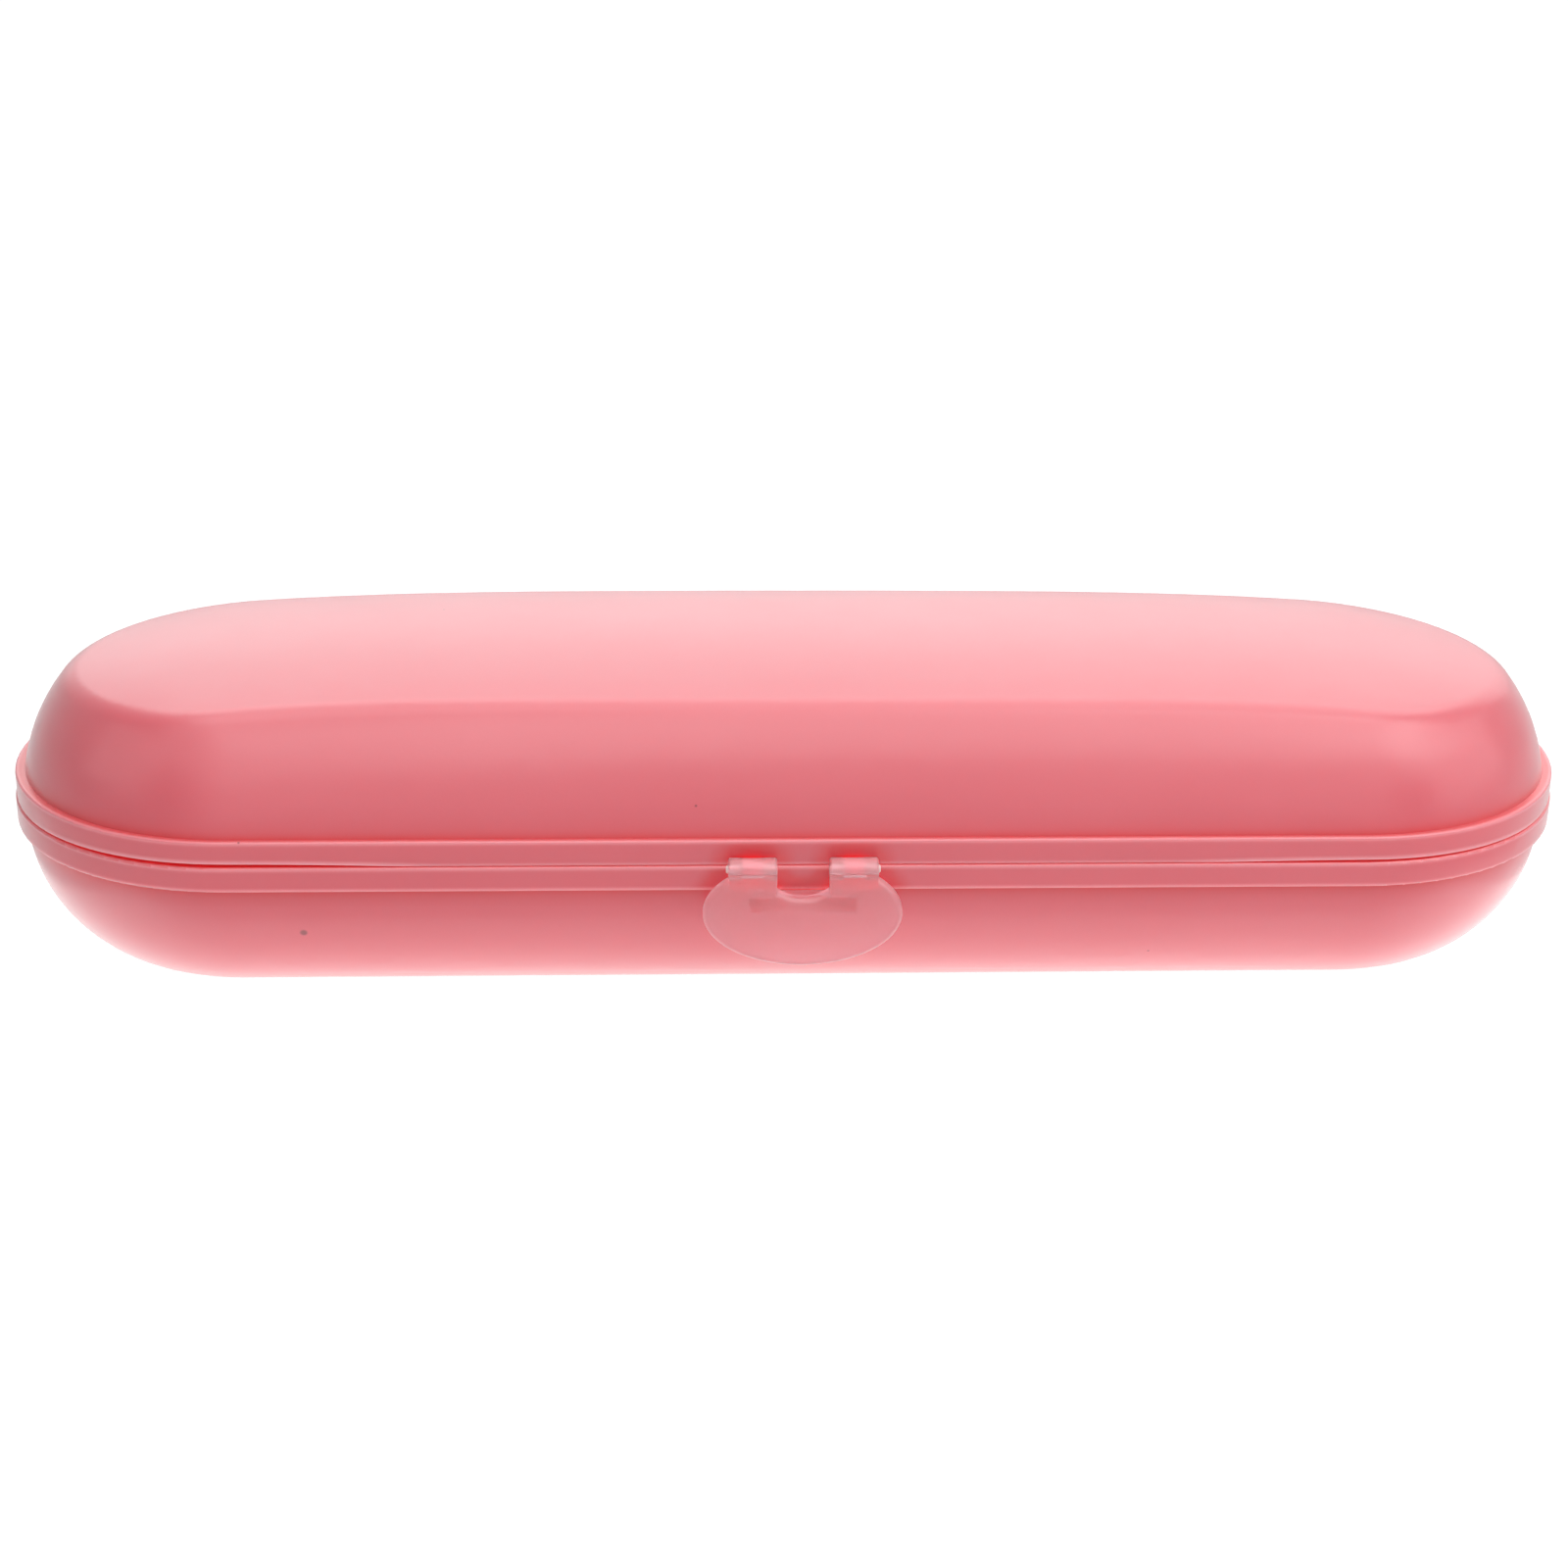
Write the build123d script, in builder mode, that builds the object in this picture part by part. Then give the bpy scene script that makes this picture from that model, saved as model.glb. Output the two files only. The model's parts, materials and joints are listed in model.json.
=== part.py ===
from build123d import *
import math
import os

# Hard travel case for an electric toothbrush: two moulded shells that meet at a
# seam, hinged at the back and held shut by a clip that pivots on the lid.
#
# Frame: the origin is on the resting face, under the middle of the case.
# X runs along the case, -Y points to the latch, +Z is up. Millimetres.

# ---------------------------------------------------------------- case
case_length = 215.0  # over the rims
case_depth = 65.0  # over the rims, front to back
base_height = 22.5  # resting face to seam
lid_height = 20.9  # seam to the top of the crown

rim_radius = case_depth / 2
end_centre = case_length / 2 - rim_radius  # X of the middle of each round end
lid_top = base_height + lid_height

# ---------------------------------------------------------------- base wall
base_wall = 1.7
floor_half_width = 17.3
base_rim_height = 3.44
base_rim_overhang = 1.2
base_wall_radius = rim_radius - base_rim_overhang
base_rim_foot = base_height - base_rim_height
# Radius and height of the poles of the wall's curve, from the floor to the rim.
base_wall_poles = [
    (floor_half_width, 0),
    (21.4, 0),
    (31.2, 6.9),
    (base_wall_radius, base_rim_foot),
]

# ---------------------------------------------------------------- lid wall
lid_wall = 1.6
lid_rim_height = 3.56
seam_step = 0.2  # the lid's rim stands back from the base's at the seam
lid_rim_radius = rim_radius - seam_step
lid_ledge = 1.1
lid_foot_radius = rim_radius - lid_ledge
lid_rim_top = base_height + lid_rim_height
crease_radius = 23.6
crease_height = 41.85
lid_wall_poles = [
    (lid_foot_radius, lid_rim_top),
    (29.9, 35.2),
    (crease_radius, crease_height),
]
end_squat = 0.905  # height of the wall above the rim at the round ends, against the middle
crease_round = 5.0
dome_end_centre = end_centre - 0.45  # the ledge is wider at the tips than along the sides
crown_rise = lid_top - crease_height  # across the lid, middle to crease
crown_drop = 1.35  # along the lid, middle to where the round ends start
crown_power = 4.0  # how much of that drop comes late, near the ends
crown_steps = 4  # sections on each side of the middle
rim_edge_round = 0.3

# ---------------------------------------------------------------- seam
lip_height = 1.2
lip_radius = 30.8  # the lip stands on the base, inside the lid's rebate
rebate_depth = 1.5
rebate_radius = 31.1
warp_left = (-78.0, 30.0, 0.55)  # middle, half length and height of the open seam
warp_right = (78.0, 28.0, 0.40)

# ---------------------------------------------------------------- latch
latch_pin_radius = 0.55
latch_knuckle_radius = 1.5
latch_rim_gap = 0.2
latch_pin_y = -(rim_radius + latch_rim_gap + latch_knuckle_radius)
latch_pin_z = base_height + 0.35
latch_front = latch_pin_y - latch_knuckle_radius
plate_thickness = 1.5
plate_half_length = 13.06
plate_half_height = 7.4
plate_middle = base_height - 5.66
plate_edge_round = 0.8
tab_edge_break = 0.2
groove_foot = base_height - 1.2  # the tab's face leans back from here up to the groove
groove_middle = base_height
groove_depth = 0.25
bay_half_width = 3.42
bay_corner = base_height - 2.27
bay_depth = 1.2  # the bay's arc below its corners
tab_outer = 9.75
tab_middle = (bay_half_width + tab_outer) / 2
tab_width = tab_outer - bay_half_width
lug_width = 2.6
lug_radius = 0.95
lug_gap = 0.2
lug_gusset_gap = 0.25  # from the gusset to the base's rim
lug_space_lean = math.radians(76)  # upper side of the lug's space, where the web is at full swing
lug_space_reach = 2 * latch_knuckle_radius
lug_space_foot = 1.2 * latch_knuckle_radius
lug_web_top = latch_pin_z + 0.2
lug_web_bottom = base_height - 0.5
running_gap = 0.05
pin_end_break = 0.15
pin_stick_out = 0.3
hook_half_length = 7.0
hook_top = base_rim_foot - 0.25
hook_reach = 0.55  # how far the hook goes in under the base's rim
hook_nose = 0.6
hook_root = 2.4  # the hook's height where it leaves the plate

# ---------------------------------------------------------------- hinge
hinge_x = 42.0
hinge_pin_radius = 0.75
hinge_knuckle_radius = 1.8
hinge_y = -latch_front - hinge_knuckle_radius  # back and front stand out alike
hinge_z = base_height
hinge_notch_gap = 0.25
base_knuckle = 4.0
lid_knuckle = 6.0
knuckle_gap = 0.3
hinge_length = 2 * base_knuckle + lid_knuckle + 2 * knuckle_gap

# ---------------------------------------------------------------- inside
cradle_spacing = 62.0
cradle_thickness = 2.0
cradle_top = 20.5
cradle_side_gap = 0.3
cradle_foot_half = 16.0
handle_seat = (9.0, 19.0, 15.0)  # Y, Z and radius of the handle's seat
head_seat = (-19.0, 14.0, 7.0)  # Y, Z and radius of the brush heads' seat
seat_edge_round = 1.2
rail_width = 1.2
rail_length = 30.0
rail_height = 2.0
rail_gap = 0.05

# ---------------------------------------------------------------- making
at_rim = 0.01  # how near an edge must be to count as on the rim
joint_overlap = 0.5  # how far a joined form reaches into the one that carries it
cut_past = 5.0  # how far a cutting block reaches past the case


# ---------------------------------------------------------------- shared forms
def capsule(half_section):
    """Carry a half section along the straight sides and round both ends."""
    with BuildPart() as form:
        with BuildSketch(Plane.YZ.offset(-end_centre)):
            add(half_section)
            mirror(about=Plane.YZ)
        extrude(amount=2 * end_centre)
        for side in (-1, 1):
            middle = (side * end_centre, 0, 0)
            with BuildSketch(Plane(origin=middle, x_dir=(0, 1, 0), z_dir=(1, 0, 0))):
                add(half_section)
            revolve(axis=Axis(middle, (0, 0, -side)), revolution_arc=180)
    return form.part


def rod(radius, length, x, y, z):
    """A round bar along X, centred on the point."""
    with BuildPart(Plane(origin=(x, y, z), z_dir=(1, 0, 0))) as bar:
        Cylinder(radius, length)
    return bar.part


def block(x_span, y_span, z_span):
    """A box from its spans along the three axes."""
    spans = (x_span, y_span, z_span)
    low = [min(span) for span in spans]
    size = [max(span) - min(span) for span in spans]
    with BuildPart() as box:
        with Locations(tuple(low)):
            Box(*size, align=(Align.MIN, Align.MIN, Align.MIN))
    return box.part


def pin(radius, length, x, y, z, end_chamfer=pin_end_break):
    """A plain pin along X with its end edges broken."""
    with BuildPart(Plane(origin=(x, y, z), z_dir=(1, 0, 0))) as bar:
        Cylinder(radius, length)
        chamfer(bar.edges().filter_by(GeomType.CIRCLE), end_chamfer)
    return bar.part


def inset_poles(poles, inset):
    """A wall curve's poles, with every leg between them moved inwards by inset."""
    points = [Vector(*pole) for pole in poles]
    inwards = [
        (after - before).normalized().rotate(Axis.Z, 90) for before, after in zip(points, points[1:])
    ]
    moved = [points[0] + inwards[0] * inset]
    for point, before, after in zip(points[1:], inwards, inwards[1:]):
        moved.append(point + (before + after) * (inset / (1 + before.dot(after))))
    moved.append(points[-1] + inwards[-1] * inset)
    return moved


# ---------------------------------------------------------------- base sections
def base_outer_section():
    """The base's block: floor, bulged wall, proud rim and seam lip."""
    with BuildSketch() as section:
        with BuildLine():
            wall = Bezier(*base_wall_poles)
            Polyline(
                wall @ 1,
                (rim_radius, base_rim_foot),
                (rim_radius, base_height),
                (lip_radius, base_height),
                (lip_radius, base_height + lip_height),
                (0, base_height + lip_height),
                (0, 0),
                wall @ 0,
            )
        make_face()
        on_rim = section.vertices().filter_by_position(Axis.X, rim_radius - at_rim, rim_radius + at_rim)
        fillet(on_rim, rim_edge_round)
    return section.sketch


def base_inner_section(inset):
    """What lies inside the base's wall, from a given distance in."""
    over_seam = base_height + 2 * lip_height
    with BuildSketch() as section:
        with BuildLine():
            wall = Bezier(*inset_poles(base_wall_poles, inset))
            Polyline(
                wall @ 1,
                ((wall @ 1).X, over_seam),
                (0, over_seam),
                (0, inset),
                wall @ 0,
            )
        make_face()
    return section.sketch


# ---------------------------------------------------------------- lid sections
def lid_rim_section():
    """The lid's rim, a solid band for the dome to stand on."""
    with BuildSketch() as section:
        with Locations((0, base_height)):
            Rectangle(lid_rim_radius, lid_rim_height, align=(Align.MIN, Align.MIN))
        on_rim = section.vertices().filter_by_position(
            Axis.X, lid_rim_radius - at_rim, lid_rim_radius + at_rim
        )
        fillet(on_rim, rim_edge_round)
    return section.sketch


def lid_dome_section(inset, squat):
    """The lid above its rim, from a given distance in, carried on past the crease."""
    poles = [(radius, lid_rim_top + (height - lid_rim_top) * squat) for radius, height in lid_wall_poles]
    with BuildSketch() as section:
        with BuildLine():
            wall = Bezier(*inset_poles(poles, inset))
            beyond = Line(wall @ 1, wall @ 1 + (wall % 1) * crease_round * 2)
            Polyline(
                beyond @ 1,
                (0, (beyond @ 1).Y),
                (0, base_height),
                ((wall @ 0).X, base_height),
                wall @ 0,
            )
        make_face()
    return section.sketch


def lid_rebate_section():
    """The space in the lid's rim for the base's lip, open at the seam."""
    with BuildSketch() as section:
        with Locations((0, base_height - rebate_depth)):
            Rectangle(rebate_radius, 2 * rebate_depth, align=(Align.MIN, Align.MIN))
    return section.sketch


def dome(inset):
    """The lid's dome: full height at its middle and squatter towards both round ends."""
    with BuildPart() as form:
        for place, squat in ((-dome_end_centre, end_squat), (0, 1), (dome_end_centre, end_squat)):
            with BuildSketch(Plane.YZ.offset(place)):
                add(lid_dome_section(inset, squat))
                mirror(about=Plane.YZ)
        loft()
        for side in (-1, 1):
            middle = (side * dome_end_centre, 0, 0)
            with BuildSketch(Plane(origin=middle, x_dir=(0, 1, 0), z_dir=(1, 0, 0))):
                add(lid_dome_section(inset, end_squat))
            revolve(axis=Axis(middle, (0, 0, -side)), revolution_arc=180)
    return form.part


def under_crown(inset):
    """A block with the lid's doubly curved top, lowered by inset."""
    across_radius = crease_radius**2 / (2 * crown_rise) - inset
    half_width = rim_radius + cut_past
    sag = across_radius - math.sqrt(across_radius**2 - half_width**2)
    reach = case_length / 2 + cut_past
    places = [reach * step / crown_steps for step in range(-crown_steps, crown_steps + 1)]
    with BuildPart() as under:
        for place in places:
            top = lid_top - inset - crown_drop * abs(place / end_centre) ** crown_power
            with BuildSketch(Plane.YZ.offset(place)):
                with BuildLine():
                    arc = ThreePointArc((-half_width, top - sag), (0, top), (half_width, top - sag))
                    Polyline(
                        arc @ 1,
                        (half_width, 0),
                        (-half_width, 0),
                        arc @ 0,
                    )
                make_face()
        loft()
    return under.part


def open_seam(middle, half_length, height):
    """The sliver that a slightly bowed shell leaves open at the seam."""
    with BuildPart() as sliver:
        with BuildSketch(Plane.XZ.offset(-rim_radius - cut_past)):
            with BuildLine():
                arc = ThreePointArc(
                    (middle - half_length, base_height),
                    (middle, base_height + height),
                    (middle + half_length, base_height),
                )
                Polyline(
                    arc @ 1,
                    (middle + half_length, base_height - cut_past),
                    (middle - half_length, base_height - cut_past),
                    arc @ 0,
                )
            make_face()
        extrude(amount=case_depth + 2 * cut_past)
    return sliver.part


# ---------------------------------------------------------------- hinge forms
def hinge_spans(side, owner):
    """X spans of one hinge's knuckles: the base has the outer pair, the lid the middle."""
    middle = side * hinge_x
    if owner == "lid":
        return [(middle - lid_knuckle / 2, middle + lid_knuckle / 2)]
    near = lid_knuckle / 2 + knuckle_gap
    far = near + base_knuckle
    return [(middle - far, middle - near), (middle + near, middle + far)]


def hinge_knuckle(span, web_end_z):
    """A knuckle round the hinge pin with a web back into the rim."""
    length = span[1] - span[0]
    middle = (span[0] + span[1]) / 2
    barrel = rod(hinge_knuckle_radius, length, middle, hinge_y, hinge_z)
    web = block(span, (rebate_radius + running_gap * 2, hinge_y), (hinge_z, web_end_z))
    return barrel + web


# ---------------------------------------------------------------- base shell
base_form = capsule(base_outer_section())
base_hollow = capsule(base_inner_section(base_wall))
hinge_reliefs = [
    rod(
        hinge_knuckle_radius + hinge_notch_gap,
        hinge_length + 2 * knuckle_gap,
        side * hinge_x,
        hinge_y,
        hinge_z,
    )
    for side in (-1, 1)
]
base_knuckles = [
    hinge_knuckle(span, hinge_z - hinge_knuckle_radius)
    for side in (-1, 1)
    for span in hinge_spans(side, "base")
]
base_pin_holes = [
    rod(hinge_pin_radius, hinge_length, side * hinge_x, hinge_y, hinge_z) for side in (-1, 1)
]
cradle_places = [-cradle_spacing, 0, cradle_spacing]
rail_offset = cradle_thickness / 2 + rail_gap
cradle_rails = [
    block(
        (place + side * rail_offset, place + side * (rail_offset + rail_width)),
        (-rail_length / 2, rail_length / 2),
        (base_wall - joint_overlap, base_wall + rail_height),
    )
    for place in cradle_places
    for side in (-1, 1)
]

with BuildPart() as base_shell:
    add(base_form)
    add(base_hollow, mode=Mode.SUBTRACT)
    add(hinge_reliefs, mode=Mode.SUBTRACT)
    add(base_knuckles)
    add(base_pin_holes, mode=Mode.SUBTRACT)
    add(cradle_rails)
base_shell.part.label = "base_shell"

# ---------------------------------------------------------------- lid shell
lid_rim = capsule(lid_rim_section())
lid_rebate = capsule(lid_rebate_section())
lid_dome = dome(0)
lid_dome_hollow = dome(lid_wall)
crown_outside = under_crown(0)
crown_inside = under_crown(lid_wall)
lid_knuckles = [
    hinge_knuckle(span, hinge_z + hinge_knuckle_radius)
    for side in (-1, 1)
    for span in hinge_spans(side, "lid")
]
lid_pin_holes = [
    rod(hinge_pin_radius + running_gap, hinge_length, side * hinge_x, hinge_y, hinge_z)
    for side in (-1, 1)
]


def latch_lug(side):
    """An ear on the lid's rim, inside one tab of the latch, that holds its pin."""
    x = side * tab_middle
    span = (x - lug_width / 2, x + lug_width / 2)
    ear = rod(lug_radius, lug_width, x, latch_pin_y, latch_pin_z)
    rim_face = -rim_radius
    web = block(span, (latch_pin_y, rim_face + joint_overlap), (base_height, lug_web_top))
    gusset = block(span, (latch_pin_y, rim_face - lug_gusset_gap), (lug_web_bottom, lug_web_top))
    return ear + web + gusset


latch_lugs = [latch_lug(side) for side in (-1, 1)]
lug_holes = [
    rod(latch_pin_radius, lug_width * 2, side * tab_middle, latch_pin_y, latch_pin_z)
    for side in (-1, 1)
]
open_seams = [open_seam(*warp_left), open_seam(*warp_right)]

with BuildPart() as lid_inside:
    add(lid_dome_hollow)
    add(crown_inside, mode=Mode.INTERSECT)
    add(lid_rebate)

with BuildPart() as lid_shell:
    add(lid_dome)
    add(crown_outside, mode=Mode.INTERSECT)
    fillet(lid_shell.faces().sort_by(Axis.Z)[-1].edges(), crease_round)
    add(lid_rim)
    add(lid_inside.part, mode=Mode.SUBTRACT)
    add(open_seams, mode=Mode.SUBTRACT)
    add(hinge_reliefs, mode=Mode.SUBTRACT)
    add(lid_knuckles)
    add(lid_pin_holes, mode=Mode.SUBTRACT)
    add(latch_lugs)
    add(lug_holes, mode=Mode.SUBTRACT)
lid_shell.part.label = "lid_shell"

# ---------------------------------------------------------------- latch clip
bay_radius = (bay_half_width**2 + bay_depth**2) / (2 * bay_depth)
knuckle_rods = [
    pin(
        latch_knuckle_radius,
        tab_width,
        side * tab_middle,
        latch_pin_y,
        latch_pin_z,
        tab_edge_break,
    )
    for side in (-1, 1)
]


def lug_space(side):
    """The room in a tab for the lug, its web and the swing of the clip about them."""
    width = lug_width + 2 * lug_gap
    x = side * tab_middle
    lean_y = latch_pin_y + lug_space_reach * math.cos(lug_space_lean)
    lean_z = latch_pin_z + lug_space_reach * math.sin(lug_space_lean)
    with BuildPart() as space:
        with BuildSketch(Plane.YZ.offset(x - width / 2)):
            with BuildLine():
                Polyline(
                    (latch_pin_y, latch_pin_z),
                    (lean_y, lean_z),
                    (latch_pin_y + lug_space_reach, lean_z),
                    (latch_pin_y + lug_space_reach, latch_pin_z - lug_space_foot),
                    (latch_pin_y, latch_pin_z - lug_space_foot),
                    close=True,
                )
            make_face()
        extrude(amount=width)
    return space.part + rod(lug_radius + lug_gap, width, x, latch_pin_y, latch_pin_z)


lug_spaces = [lug_space(side) for side in (-1, 1)]
latch_bores = [
    rod(latch_pin_radius + running_gap, tab_width * 2, side * tab_middle, latch_pin_y, latch_pin_z)
    for side in (-1, 1)
]

with BuildPart() as groove_form:
    with BuildSketch(Plane.YZ.offset(-tab_outer)):
        with BuildLine():
            Polyline(
                (latch_front, groove_foot),
                (latch_front + groove_depth, groove_middle),
                (latch_front, latch_pin_z),
                (latch_front - groove_depth, groove_middle),
                close=True,
            )
        make_face()
    extrude(amount=2 * tab_outer)
knuckle_groove = groove_form.part

with BuildPart() as latch_clip:
    with BuildSketch(Plane.XZ.offset(-latch_pin_y)):
        with Locations((0, plate_middle)):
            Ellipse(plate_half_length, plate_half_height)
        with Locations((0, latch_pin_z)):
            Rectangle(
                2 * plate_half_length,
                plate_half_height,
                align=(Align.CENTER, Align.MIN),
                mode=Mode.SUBTRACT,
            )
        for side in (-1, 1):
            with Locations((side * tab_middle, latch_pin_z)):
                Rectangle(tab_width, latch_pin_z - plate_middle, align=(Align.CENTER, Align.MAX))
        with BuildLine():
            arc = ThreePointArc(
                (-bay_half_width, bay_corner),
                (0, bay_corner - bay_depth),
                (bay_half_width, bay_corner),
            )
            Polyline(
                arc @ 1,
                (bay_half_width, lid_rim_top),
                (-bay_half_width, lid_rim_top),
                arc @ 0,
            )
        make_face(mode=Mode.SUBTRACT)
    extrude(amount=plate_thickness)
    plate_face = latch_clip.faces().sort_by(Axis.Y)[0]
    chamfer(plate_face.edges().filter_by(Axis.Z), tab_edge_break)
    plate_face = latch_clip.faces().sort_by(Axis.Y)[0]
    outline = plate_face.edges().filter_by_position(Axis.Z, 0, latch_pin_z - at_rim)
    fillet(outline - outline.filter_by(Axis.Z), plate_edge_round)
    add(knuckle_rods)
    add(knuckle_groove, mode=Mode.SUBTRACT)
    add(lug_spaces, mode=Mode.SUBTRACT)
    add(latch_bores, mode=Mode.SUBTRACT)
    with BuildSketch(Plane.YZ.offset(-hook_half_length)):
        with BuildLine():
            Polyline(
                (latch_pin_y - plate_thickness / 2, hook_top),
                (-rim_radius + hook_reach, hook_top),
                (-rim_radius + hook_reach, hook_top - hook_nose),
                (latch_pin_y - plate_thickness / 2, hook_top - hook_root),
                close=True,
            )
        make_face()
    extrude(amount=2 * hook_half_length)
latch_clip.part.label = "latch_clip"

# ---------------------------------------------------------------- cradles
cradle_outline = base_inner_section(base_wall + cradle_side_gap)


def cradle(place):
    """A divider with one seat for the handle and one for the brush heads."""
    with BuildPart() as divider:
        with BuildSketch(Plane.YZ.offset(place - cradle_thickness / 2)) as face:
            add(cradle_outline)
            mirror(about=Plane.YZ)
            with Locations((0, cradle_top)):
                Rectangle(
                    case_depth,
                    lid_height,
                    align=(Align.CENTER, Align.MIN),
                    mode=Mode.SUBTRACT,
                )
            with Locations((0, base_wall)):
                Rectangle(
                    2 * cradle_foot_half,
                    2 * cradle_side_gap,
                    align=(Align.CENTER, Align.MIN),
                )
            for seat_y, seat_z, seat_radius in (handle_seat, head_seat):
                with Locations((seat_y, seat_z)):
                    Circle(seat_radius, mode=Mode.SUBTRACT)
                    Rectangle(
                        2 * seat_radius,
                        lid_height,
                        align=(Align.CENTER, Align.MIN),
                        mode=Mode.SUBTRACT,
                    )
            top_corners = face.vertices().filter_by_position(Axis.Y, cradle_top - at_rim, cradle_top + at_rim)
            fillet(top_corners, seat_edge_round)
        extrude(amount=cradle_thickness)
    return divider.part


# ---------------------------------------------------------------- pins, export
parts = [base_shell.part, lid_shell.part, latch_clip.part]
for name, place in zip(("left", "middle", "right"), cradle_places):
    divider = cradle(place)
    divider.label = "cradle_" + name
    parts.append(divider)
for name, side in (("left", -1), ("right", 1)):
    hinge_pin = pin(hinge_pin_radius, hinge_length, side * hinge_x, hinge_y, hinge_z)
    hinge_pin.label = "hinge_pin_" + name
    parts.append(hinge_pin)
    latch_pin = pin(
        latch_pin_radius,
        tab_width + pin_stick_out,
        side * (tab_middle + pin_stick_out / 2),
        latch_pin_y,
        latch_pin_z,
    )
    latch_pin.label = "latch_pin_" + name
    parts.append(latch_pin)

os.makedirs("parts", exist_ok=True)
for part in parts:
    export_step(part, "parts/" + part.label + ".step")
    print(part.label, round(part.volume, 1), "mm3")
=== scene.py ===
# %% [markdown]
# # A travel case for an electric toothbrush
# The case is two satin shells of pink polypropylene that meet at a seam, with a
# frosted clip at the front. The imported frame already holds every rigid piece at
# its real size, so the first step loads it.

# %% Load the frame
import json
import math

import bpy
from mathutils import Matrix, Vector


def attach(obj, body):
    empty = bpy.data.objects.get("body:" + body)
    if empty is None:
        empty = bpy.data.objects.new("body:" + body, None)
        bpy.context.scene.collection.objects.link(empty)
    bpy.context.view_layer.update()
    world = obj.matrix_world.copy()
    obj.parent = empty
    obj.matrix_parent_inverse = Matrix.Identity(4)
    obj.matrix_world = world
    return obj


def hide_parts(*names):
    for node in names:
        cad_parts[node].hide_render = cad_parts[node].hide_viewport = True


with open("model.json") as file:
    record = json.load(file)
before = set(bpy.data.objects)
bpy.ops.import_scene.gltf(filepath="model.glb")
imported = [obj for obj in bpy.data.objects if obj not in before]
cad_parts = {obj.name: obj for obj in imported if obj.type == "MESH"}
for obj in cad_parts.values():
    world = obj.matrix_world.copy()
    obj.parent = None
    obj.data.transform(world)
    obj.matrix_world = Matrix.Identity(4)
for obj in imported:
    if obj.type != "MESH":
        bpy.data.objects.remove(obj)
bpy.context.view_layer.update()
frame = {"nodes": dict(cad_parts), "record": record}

MM = 0.001
print("nodes", sorted(frame["nodes"]))

# %% [markdown]
# ## Small helpers
# A material is a graph of nodes. One function adds a node with its settings and
# links, and another turns a paint chip's sRGB hex value into the linear colour
# that the shader works in.

# %% Helpers for materials
def linear(hex_value):
    """An sRGB hex colour as linear red, green, blue and alpha."""
    def channel(shift):
        level = ((hex_value >> shift) & 255) / 255
        return level / 12.92 if level <= 0.04045 else ((level + 0.055) / 1.055) ** 2.4
    return (channel(16), channel(8), channel(0), 1.0)


def add_node(tree, kind, settings=None, **links):
    """Adds a node; links gives its inputs, by name or as i0, i1, a value or an output."""
    made = tree.nodes.new(kind)
    for name, value in (settings or {}).items():
        setattr(made, name, value)
    for name, value in links.items():
        numbered = name[0] == "i" and name[1:].isdigit()
        socket = made.inputs[int(name[1:]) if numbered else name.replace("_", " ")]
        if isinstance(value, bpy.types.NodeSocket):
            tree.links.new(value, socket)
        else:
            socket.default_value = value
    return made


def new_material(name):
    """An empty node material and its output node."""
    made = bpy.data.materials.new(name)
    made.use_nodes = True
    made.node_tree.nodes.clear()
    output = made.node_tree.nodes.new("ShaderNodeOutputMaterial")
    return made, made.node_tree, output


print("white is", linear(0xFFFFFF))

# %% [markdown]
# ## Camera
# The case is seen from the front, a little from the left and from above, with a
# long lens. The camera looks at a point inside the case and is rolled by about
# one degree, so its place follows from a distance, two angles and that roll.

# %% Camera
LOOK_AT = Vector((-0.9, 0, 20.62)) * MM
DISTANCE = 388.7 * MM
ELEVATION = math.radians(22.49)
AZIMUTH = math.radians(-3.0)
ROLL = math.radians(0.93)

back = Vector((
    math.sin(AZIMUTH) * math.cos(ELEVATION),
    -math.cos(AZIMUTH) * math.cos(ELEVATION),
    math.sin(ELEVATION),
))
turn = back.to_track_quat("Z", "Y").to_matrix() @ Matrix.Rotation(ROLL, 3, "Z")
camera = bpy.data.objects.new("camera", bpy.data.cameras.new("camera"))
camera.matrix_world = Matrix.Translation(LOOK_AT + back * DISTANCE) @ turn.to_4x4()
camera.data.lens = 63.02
camera.data.sensor_width = 36
camera.data.clip_start = 0.01
bpy.context.scene.collection.objects.link(camera)
bpy.context.scene.camera = camera
print("camera at", [round(c, 3) for c in camera.location])

# %% [markdown]
# ## Studio
# The case stands on a glowing white table in a white room, in a ring of soft
# lights a metre away. Those overhead and high behind light the crown of the lid,
# the low ones behind wash over it at a shallow angle, and the front, left and
# right ones light the walls. Satin plastic shows such lights as broad pale
# gradients, so their places matter more than their power.

# %% Studio light
bpy.context.scene.view_settings.view_transform = "Standard"
LAMP_DISTANCE = 1.0
CASE_MIDDLE = Vector((0, 0, 0.03))


def soft_light(name, azimuth, elevation, size, power):
    """A rectangular light that faces the case; azimuth 0 is the front, 90 the right."""
    around, up = math.radians(azimuth), math.radians(elevation)
    place = LAMP_DISTANCE * Vector((
        math.sin(around) * math.cos(up), -math.cos(around) * math.cos(up), math.sin(up),
    ))
    lamp = bpy.data.lights.new(name, "AREA")
    lamp.shape = "RECTANGLE"
    lamp.size, lamp.size_y = size
    lamp.energy = power
    made = bpy.data.objects.new(name, lamp)
    facing = (place - CASE_MIDDLE).to_track_quat("Z", "Y").to_matrix().to_4x4()
    made.matrix_world = Matrix.Translation(place) @ facing
    bpy.context.scene.collection.objects.link(made)
    return made


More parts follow.
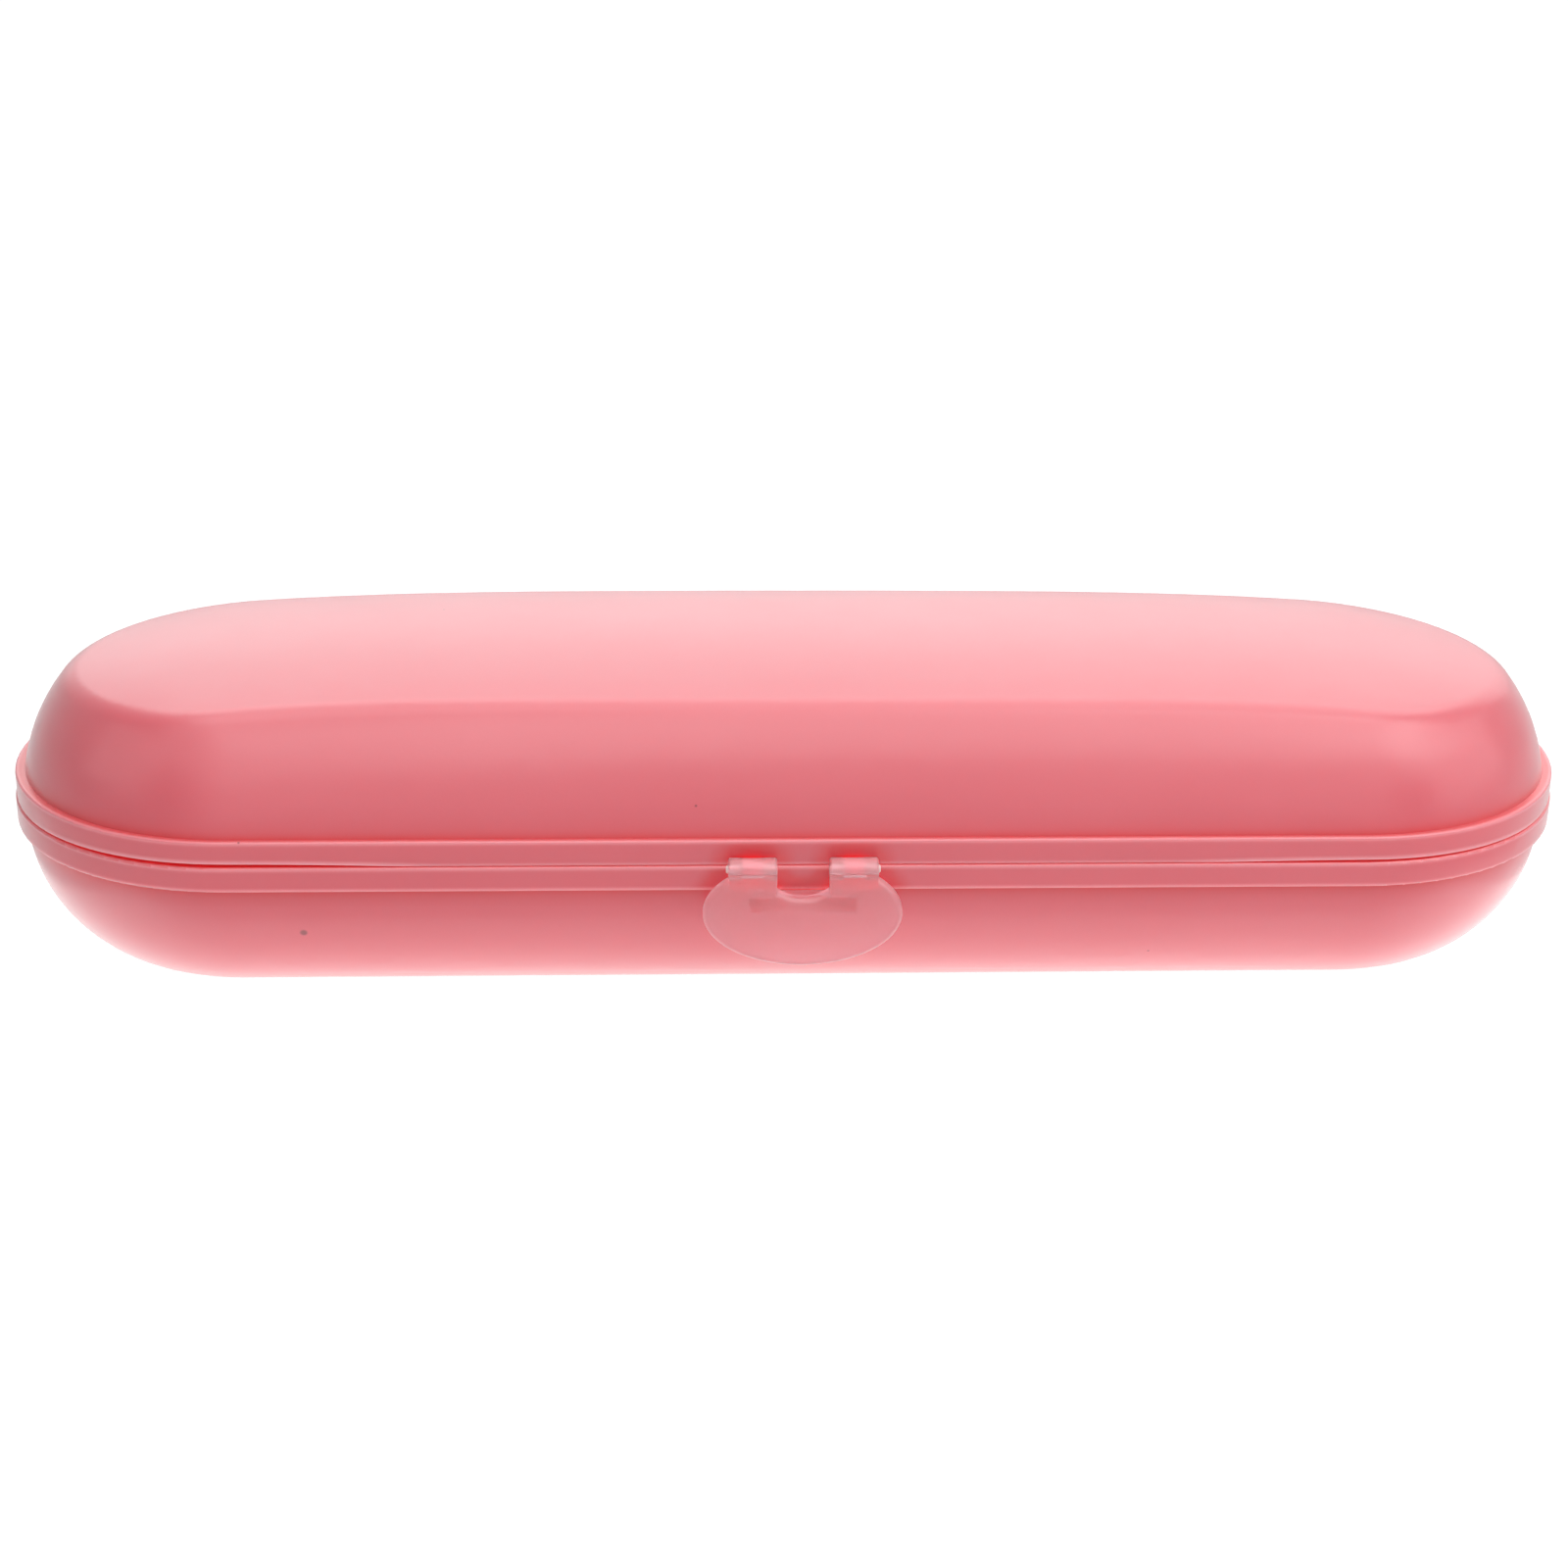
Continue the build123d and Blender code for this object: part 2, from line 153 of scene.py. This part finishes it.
lamps = [
    soft_light("overhead", 0, 88, (0.9, 0.6), 3.1),
    soft_light("front", 26, 56, (1.1, 0.6), 3.6),
    soft_light("front_left", 325, 50, (0.8, 0.6), 0.9),
    soft_light("front_low", 5, 25, (1.0, 0.5), 0.8),
    soft_light("left", 288, 26, (0.6, 0.5), 0.7),
    soft_light("right", 96, 45, (0.6, 0.8), 0.6),
    soft_light("right_front", 60, 42, (0.6, 0.5), 1.6),
    soft_light("right_low", 75, 20, (0.8, 0.5), 1.3),
    soft_light("behind_high", 170, 58, (1.2, 0.5), 3.6),
    soft_light("behind", 166, 30, (1.6, 0.45), 1.7),
    soft_light("behind_low", 172, 12, (1.8, 0.3), 0.9),
]
print("lamps", [(lamp.name, lamp.data.energy) for lamp in lamps])

# %% [markdown]
# The table has a small lit panel under the case. Only surfaces that face down
# and are near it get its light, which is what makes the lower edge of the base
# glow while the wall above it stays deep. The eye doesn't see the panel itself,
# because the table top is as white as it is.

# %% Lit panel
PANEL_SIZE = (0.235, 0.085)
PANEL_POWER = 0.034
PANEL_HEIGHT = 0.05 * MM
panel = bpy.data.lights.new("panel", "AREA")
panel.shape = "RECTANGLE"
panel.size, panel.size_y = PANEL_SIZE
panel.energy = PANEL_POWER
panel_object = bpy.data.objects.new("panel", panel)
facing_up = Matrix.Rotation(math.pi, 4, "X")
panel_object.matrix_world = Matrix.Translation((0, 0, PANEL_HEIGHT)) @ facing_up
panel_object.visible_camera = False
bpy.context.scene.collection.objects.link(panel_object)
print("panel", PANEL_SIZE)

# %% [markdown]
# The room is white to the eye and through the clip. In gloss it is a pale grey
# behind the case and a deeper grey to the left and right, so the round ends keep
# their pink up to the outline. Light that scatters between matt surfaces finds
# it dark, so the room doesn't flatten the modelling of the lamps.

# %% Room
ROOM_IN_GLOSS = 0.74
SIDES_IN_GLOSS = 0.38
SIDES_FROM = 0.2
SIDES_TO = 0.7
WHITE = (1, 1, 1, 1)
world = bpy.data.worlds.new("studio")
world.use_nodes = True
bpy.context.scene.world = world
tree = world.node_tree
tree.nodes.clear()


def seen_strength(tree, in_gloss):
    """One for a ray from the eye or through glass, in_gloss for a mirrored one, else nought."""
    rays = add_node(tree, "ShaderNodeLightPath")
    direct = add_node(
        tree, "ShaderNodeMath", {"operation": "MAXIMUM"},
        i0=rays.outputs["Is Camera Ray"], i1=rays.outputs["Is Transmission Ray"],
    )
    mirrored = add_node(
        tree, "ShaderNodeMath", {"operation": "MULTIPLY"},
        i0=rays.outputs["Is Glossy Ray"], i1=in_gloss,
    )
    return add_node(
        tree, "ShaderNodeMath", {"operation": "MAXIMUM"},
        i0=direct.outputs[0], i1=mirrored.outputs[0],
    ).outputs[0]


def fades_sideways(tree, place, near, far, middle, sides):
    """The level in the middle, and another one from far to the left and right."""
    across = add_node(tree, "ShaderNodeSeparateXYZ", Vector=place).outputs["X"]
    away = add_node(tree, "ShaderNodeMath", {"operation": "ABSOLUTE"}, i0=across)
    return add_node(
        tree, "ShaderNodeMapRange",
        Value=away.outputs[0], i1=near, i2=far, i3=middle, i4=sides,
    ).outputs[0]


heading = add_node(tree, "ShaderNodeTexCoord").outputs["Generated"]
in_gloss = fades_sideways(tree, heading, SIDES_FROM, SIDES_TO, ROOM_IN_GLOSS, SIDES_IN_GLOSS)
glow = add_node(
    tree, "ShaderNodeBackground", Color=WHITE, Strength=seen_strength(tree, in_gloss),
)
add_node(tree, "ShaderNodeOutputWorld", Surface=glow.outputs[0])
print("room in gloss", ROOM_IN_GLOSS, "and", SIDES_IN_GLOSS)

# %% [markdown]
# The table top is opal acrylic. To the eye it is white with the faint soft shadow
# of the case, and in gloss it is a pale grey near the case and deeper grey beyond
# both its ends, like the room.

# %% Table top
TABLE_IN_GLOSS = 0.7
TABLE_FADES_FROM = 110 * MM
TABLE_FADES_TO = 190 * MM
TABLE_SIZE = 8
SHADOW_DEPTH = 0.15
table_white, tree, output = new_material("opal acrylic table top")
opal = add_node(tree, "ShaderNodeBsdfDiffuse", Color=linear(0xF4F4F4))
faint = add_node(tree, "ShaderNodeBsdfDiffuse", Color=(SHADOW_DEPTH, SHADOW_DEPTH, SHADOW_DEPTH, 1))
spot = add_node(tree, "ShaderNodeTexCoord").outputs["Object"]
in_gloss = fades_sideways(
    tree, spot, TABLE_FADES_FROM, TABLE_FADES_TO, TABLE_IN_GLOSS, SIDES_IN_GLOSS,
)
white = add_node(
    tree, "ShaderNodeEmission", Color=WHITE, Strength=seen_strength(tree, in_gloss),
)
lit = add_node(tree, "ShaderNodeAddShader", i0=faint.outputs[0], i1=white.outputs[0])
mix = add_node(
    tree, "ShaderNodeMixShader",
    i0=seen_strength(tree, 1.0), i1=opal.outputs[0], i2=lit.outputs[0],
)
tree.links.new(mix.outputs[0], output.inputs["Surface"])

bpy.ops.object.select_all(action="DESELECT")
bpy.ops.mesh.primitive_plane_add(size=TABLE_SIZE, location=(0, 0, 0))
floor = bpy.context.object
floor.name = "floor"
floor.data.materials.append(table_white)
print(floor.name, "is", table_white.name)

# %% [markdown]
# ## Pink polypropylene, injection moulded
# Polypropylene is a waxy plastic that scatters light a little way under its
# surface. In hollows the light bounces from pink to pink and loses its green and
# blue, so corners glow redder and deeper than the open walls; that shade is
# painted into the colour here. Along a thin rim the light leaks out again and the
# edge looks pale; that is a painted highlight. Ambient Occlusion measures both:
# rays outwards tell how hollow a place is, rays inwards how thin it is. A little
# red light also comes through the wall into the narrowest gaps, like the seam;
# that is a painted glow, a red emission in the deepest hollows.
# Each pair of limits below is how open a place is at either end of a fade.

# %% Pink in the open, painted shade in hollows and painted highlight along rims
# The reaches, limits and colours below set painted shade in hollows, a painted highlight along thin
# rims and a painted red glow in narrow gaps.
HOLLOW_REACH = 3 * MM
RIM_REACH = 0.8 * MM
RIM_HIGHLIGHT_STRENGTH = 0.8
PAINTED_GLOW = 0.05
DEEPEST_AT = (0.27, 0.5)
OPEN_AT = (0.8, 1.0)
THIN_AT = (0.95, 0.55)
PAINTED_GLOW_AT = (0.65, 0.3)
AO_SAMPLES = 16
OPEN_PINK = 0xDC5C68
# Painted shade: the pink turns to these reds in hollows.
HOLLOW_SHADE_PINK = 0xE03E46
DEEPEST_SHADE_RED = 0xFF0A10
# Painted highlight: the pink turns this pale along thin rims.
RIM_HIGHLIGHT_PINK = 0xFFB0B8
# Painted glow: the colour of a red emission in the narrowest gaps.
PAINTED_GLOW_RED = 0xFF3038


def openness(tree):
    """How open a place is: one on a free wall, less in a hollow."""
    return add_node(
        tree, "ShaderNodeAmbientOcclusion", {"samples": AO_SAMPLES}, Distance=HOLLOW_REACH,
    ).outputs["AO"]


def pink_with_painted_shade_and_highlight(tree):
    """The moulding's pink, with painted shade that deepens it in hollows and a painted highlight
    that pales it along thin rims.
    """
    # Painted shade: deeper reds where the place is hollow.
    hollow = openness(tree)
    deepest = add_node(
        tree, "ShaderNodeMapRange", Value=hollow, i1=DEEPEST_AT[0], i2=DEEPEST_AT[1],
    )
    deep = add_node(
        tree, "ShaderNodeMix", {"data_type": "RGBA"},
        Factor=deepest.outputs[0], i6=linear(DEEPEST_SHADE_RED), i7=linear(HOLLOW_SHADE_PINK),
    )
    open_wall = add_node(
        tree, "ShaderNodeMapRange", Value=hollow, i1=OPEN_AT[0], i2=OPEN_AT[1],
    )
    wall = add_node(
        tree, "ShaderNodeMix", {"data_type": "RGBA"},
        Factor=open_wall.outputs[0], i6=deep.outputs[2], i7=linear(OPEN_PINK),
    )
    # Painted highlight: paler pink where the rim is thin.
    thin = add_node(
        tree, "ShaderNodeAmbientOcclusion",
        {"samples": AO_SAMPLES, "inside": True}, Distance=RIM_REACH,
    )
    rim = add_node(
        tree, "ShaderNodeMapRange",
        Value=thin.outputs["AO"], i1=THIN_AT[0], i2=THIN_AT[1], i3=0.0, i4=RIM_HIGHLIGHT_STRENGTH,
    )
    return add_node(
        tree, "ShaderNodeMix", {"data_type": "RGBA"},
        Factor=rim.outputs[0], i6=wall.outputs[2], i7=linear(RIM_HIGHLIGHT_PINK),
    ).outputs[2]


def painted_glow_strength(tree):
    """The strength of a painted red glow in a narrow gap, standing in for light that comes through
    the wall.
    """
    return add_node(
        tree, "ShaderNodeMapRange",
        Value=openness(tree), i1=PAINTED_GLOW_AT[0], i2=PAINTED_GLOW_AT[1], i3=0.0, i4=PAINTED_GLOW,
    ).outputs[0]


print("hollows within", HOLLOW_REACH, "m, rims within", RIM_REACH, "m")

# %% [markdown]
# The steel mould was spark eroded to a satin, which leaves a fine even grain on
# the plastic. The real grain is about 0.05 mm; here it is drawn at 0.35 mm, the
# finest that a picture of the whole case can show. The melt cools unevenly as it
# flows in from the gate, so the gloss changes a little over some 12 mm and the
# pink over some 45 mm.

# %% Grain and flow
GRAIN = 0.35 * MM
GRAIN_DEPTH = 0.003 * MM
GLOSS_PATCH = 12 * MM
FLOW_LENGTH = 45 * MM
NOISE_LOW = 0.3
NOISE_HIGH = 0.7


def patches(tree, size, low, high):
    """Soft patches of a size, as a value between two limits."""
    place = add_node(tree, "ShaderNodeTexCoord")
    cloud = add_node(
        tree, "ShaderNodeTexNoise", Vector=place.outputs["Object"], Scale=1 / size, Detail=2.0,
    )
    return add_node(
        tree, "ShaderNodeMapRange",
        Value=cloud.outputs[0], i1=NOISE_LOW, i2=NOISE_HIGH, i3=low, i4=high,
    ).outputs[0]


def mould_grain(tree, size, depth):
    """The normal of a surface with an even grain."""
    height = patches(tree, size, 0.0, 1.0)
    return add_node(tree, "ShaderNodeBump", Height=height, Distance=depth).outputs[0]


print("grain", GRAIN, "m, gloss patches", GLOSS_PATCH, "m, flow", FLOW_LENGTH, "m")

# %% [markdown]
# Under a lens the plastic isn't quite clean: a burnt granule of resin shows as a
# dark speck low on the front, and a few finer ones lie about. Each is a small
# sphere, given here by its middle and radius in millimetres, and the surface
# darkens from the sphere's edge to its core.

# %% Specks
SPECK_BROWN = 0x963A42
SPECK_CORE = 0.5
SPECKS = [
    ((-65.4, -30.1, 12.2), 0.6),
    ((-48.9, 11.6, 42.7), 0.2),
    ((-72.8, -32.1, 26.0), 0.2),
    ((-13.9, -30.4, 30.2), 0.2),
    ((47.2, -27.9, 7.6), 0.2),
]


def specks(tree):
    """One inside a speck, nought elsewhere."""
    place = add_node(tree, "ShaderNodeTexCoord").outputs["Object"]
    mask = 0.0
    for middle, radius in SPECKS:
        away = add_node(
            tree, "ShaderNodeVectorMath", {"operation": "DISTANCE"},
            i0=place, i1=Vector(middle) * MM,
        )
        inside = add_node(
            tree, "ShaderNodeMapRange",
            Value=away.outputs["Value"], i1=radius * MM, i2=radius * MM * SPECK_CORE,
        )
        mask = add_node(
            tree, "ShaderNodeMath", {"operation": "MAXIMUM"}, i0=mask, i1=inside.outputs[0],
        ).outputs[0]
    return mask


print(len(SPECKS), "specks")

# %% [markdown]
# The shells have a satin skin over a body that scatters: Coat gives the skin's
# broad soft highlights, Roughness the body, and Subsurface the red bleed past a
# shadow's edge. A little Sheen lifts the walls that the eye meets at a shallow
# angle.

# %% Shell material
FLOW_PINK = 0xF08C96
FLOW_SHOWS = 0.08
BLEED = (2.0, 0.5, 0.4)
shell_pp, tree, output = new_material("pink polypropylene, injection moulded satin")
# The pink carries painted shade in hollows and a painted highlight along thin rims.
pink = add_node(
    tree, "ShaderNodeMix", {"data_type": "RGBA"},
    Factor=patches(tree, FLOW_LENGTH, 0.0, FLOW_SHOWS),
    i6=pink_with_painted_shade_and_highlight(tree), i7=linear(FLOW_PINK),
)
speckled = add_node(
    tree, "ShaderNodeMix", {"data_type": "RGBA"},
    Factor=specks(tree), i6=pink.outputs[2], i7=linear(SPECK_BROWN),
)
# Its emission is a painted red glow in the narrowest gaps.
skin = add_node(
    tree, "ShaderNodeBsdfPrincipled",
    Base_Color=speckled.outputs[2], IOR=1.49,
    Roughness=patches(tree, GLOSS_PATCH, 0.38, 0.42),
    Normal=mould_grain(tree, GRAIN, GRAIN_DEPTH),
    Subsurface_Weight=0.35, Subsurface_Radius=BLEED, Subsurface_Scale=MM,
    Sheen_Weight=0.35, Sheen_Roughness=0.4,
    Coat_Weight=1.0, Coat_Roughness=0.26, Coat_IOR=1.5,
    Emission_Color=linear(PAINTED_GLOW_RED), Emission_Strength=painted_glow_strength(tree),
)
tree.links.new(skin.outputs[0], output.inputs["Surface"])
print(shell_pp.name, len(tree.nodes), "nodes")

# %% [markdown]
# ## The dividers
# The three dividers inside are moulded in the same pink, but their mould was only
# blasted, so they have no satin skin and look chalkier.

# %% Divider material
divider_pp, tree, output = new_material("pink polypropylene, blasted matt")
# The pink carries painted shade in hollows and a painted highlight along thin rims.
skin = add_node(
    tree, "ShaderNodeBsdfPrincipled",
    Base_Color=pink_with_painted_shade_and_highlight(tree), IOR=1.49,
    Roughness=patches(tree, GLOSS_PATCH, 0.5, 0.6),
    Normal=mould_grain(tree, GRAIN, 2 * GRAIN_DEPTH),
    Subsurface_Weight=0.35, Subsurface_Radius=BLEED, Subsurface_Scale=MM,
)
tree.links.new(skin.outputs[0], output.inputs["Surface"])
print(divider_pp.name, len(tree.nodes), "nodes")

# %% [markdown]
# ## Frosted clip
# The clip is undyed polypropylene from a frosted mould. Most of the light passes
# through and comes back pink from the wall behind, some is scattered inside and
# gives a milky haze, and the frost keeps anything behind it from showing sharp.

# %% Clip material
FROST = 0.25 * MM
FROST_DEPTH = 0.004 * MM
clip_pp, tree, output = new_material("natural polypropylene, frosted")
skin = add_node(
    tree, "ShaderNodeBsdfPrincipled",
    Base_Color=linear(0xF6CCD2), IOR=1.3,
    Roughness=patches(tree, GLOSS_PATCH, 0.38, 0.44),
    Normal=mould_grain(tree, FROST, FROST_DEPTH),
    Transmission_Weight=0.85,
    Subsurface_Weight=1.0, Subsurface_Radius=(3.0, 2.4, 2.4), Subsurface_Scale=MM,
    Coat_Weight=1.0, Coat_Roughness=0.3, Coat_IOR=1.5,
)
tree.links.new(skin.outputs[0], output.inputs["Surface"])
print(clip_pp.name, len(tree.nodes), "nodes")

# %% [markdown]
# ## Pins
# The clip turns on two pins cut from natural acetal rod: an off-white, slightly
# waxy plastic with the fine rings that the cutter left on its ends. The hinge
# pins are stainless steel wire, drawn through a die that leaves hairlines along
# it, so the hairlines are a noise stretched along the case.

# %% Pin materials
RING_SPACING = 0.15 * MM
RING_DEPTH = 0.004 * MM
HAIRLINE = 0.08 * MM
HAIRLINE_LENGTH = 8 * MM

pin_pom, tree, output = new_material("natural acetal, cut from rod")
place = add_node(tree, "ShaderNodeTexCoord")
rings = add_node(
    tree, "ShaderNodeTexWave", {"bands_direction": "X"},
    Vector=place.outputs["Object"], Scale=1 / RING_SPACING, Distortion=1.5,
)
cut = add_node(tree, "ShaderNodeBump", Height=rings.outputs["Fac"], Distance=RING_DEPTH)
rod = add_node(
    tree, "ShaderNodeBsdfPrincipled",
    Base_Color=linear(0xE9CFCB), IOR=1.48, Normal=cut.outputs[0],
    Roughness=patches(tree, GLOSS_PATCH, 0.3, 0.4),
    Subsurface_Weight=0.5, Subsurface_Radius=(1.0, 0.9, 0.8), Subsurface_Scale=MM,
)
tree.links.new(rod.outputs[0], output.inputs["Surface"])

pin_steel, tree, output = new_material("stainless steel, cold drawn wire")
place = add_node(tree, "ShaderNodeTexCoord")
along = add_node(
    tree, "ShaderNodeMapping",
    Vector=place.outputs["Object"], Scale=(HAIRLINE / HAIRLINE_LENGTH, 1, 1),
)
drawn = add_node(
    tree, "ShaderNodeTexNoise", Vector=along.outputs[0], Scale=1 / HAIRLINE, Detail=2.0,
)
gloss = add_node(tree, "ShaderNodeMapRange", Value=drawn.outputs[0], i3=0.2, i4=0.42)
wire = add_node(
    tree, "ShaderNodeBsdfPrincipled",
    Base_Color=linear(0xC9C6C1), Metallic=1.0, Roughness=gloss.outputs[0],
)
tree.links.new(wire.outputs[0], output.inputs["Surface"])
print(pin_pom.name, "and", pin_steel.name)

# %% [markdown]
# ## Dress the nodes
# Every node of the frame names its slot in the record, and the slot says which
# of the five materials it gets.

# %% Dress the frame's nodes
FINISH_OF = {
    "pink_shell": shell_pp,
    "pink_cradle": divider_pp,
    "frosted_clip": clip_pp,
    "natural_pin": pin_pom,
    "steel_pin": pin_steel,
}
for row in frame["record"]["subparts"]:
    frame["nodes"][row["node"]].data.materials[0] = FINISH_OF[row["material_slot"]]
    print(row["node"], "is", FINISH_OF[row["material_slot"]].name)

# %% [markdown]
# ## Smooth mouldings
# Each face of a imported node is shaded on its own, which leaves a faint line where
# a round meets a wall. A moulding has no such lines, so the shells and the clip
# are copied, the copies' loose triangles are merged, and their normals run on
# over every edge that turns by less than the angle here.

# %% Smooth mouldings
SMOOTH_UP_TO = math.radians(32)
MERGE_WITHIN = 0.002 * MM


def smooth_moulding(node, name, body):
    """A merged copy of a node, smooth across the joins of its faces."""
    bpy.ops.object.select_all(action="DESELECT")
    made = frame["nodes"][node].copy()
    made.data = frame["nodes"][node].data.copy()
    made.name = name
    bpy.context.scene.collection.objects.link(made)
    made.select_set(True)
    bpy.context.view_layer.objects.active = made
    bpy.ops.mesh.customdata_custom_splitnormals_clear()
    bpy.ops.object.mode_set(mode="EDIT")
    bpy.ops.mesh.select_all(action="SELECT")
    bpy.ops.mesh.remove_doubles(threshold=MERGE_WITHIN)
    bpy.ops.object.mode_set(mode="OBJECT")
    bpy.ops.object.shade_smooth_by_angle(angle=SMOOTH_UP_TO)
    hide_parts(node)
    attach(made, body)
    print(name, len(made.data.vertices), "vertices", len(made.data.polygons), "faces")
    return made


base_moulding = smooth_moulding("base_shell", "base_moulding", "base")
lid_moulding = smooth_moulding("lid_shell", "lid_moulding", "lid")
clip_moulding = smooth_moulding("latch_clip", "clip_moulding", "latch")
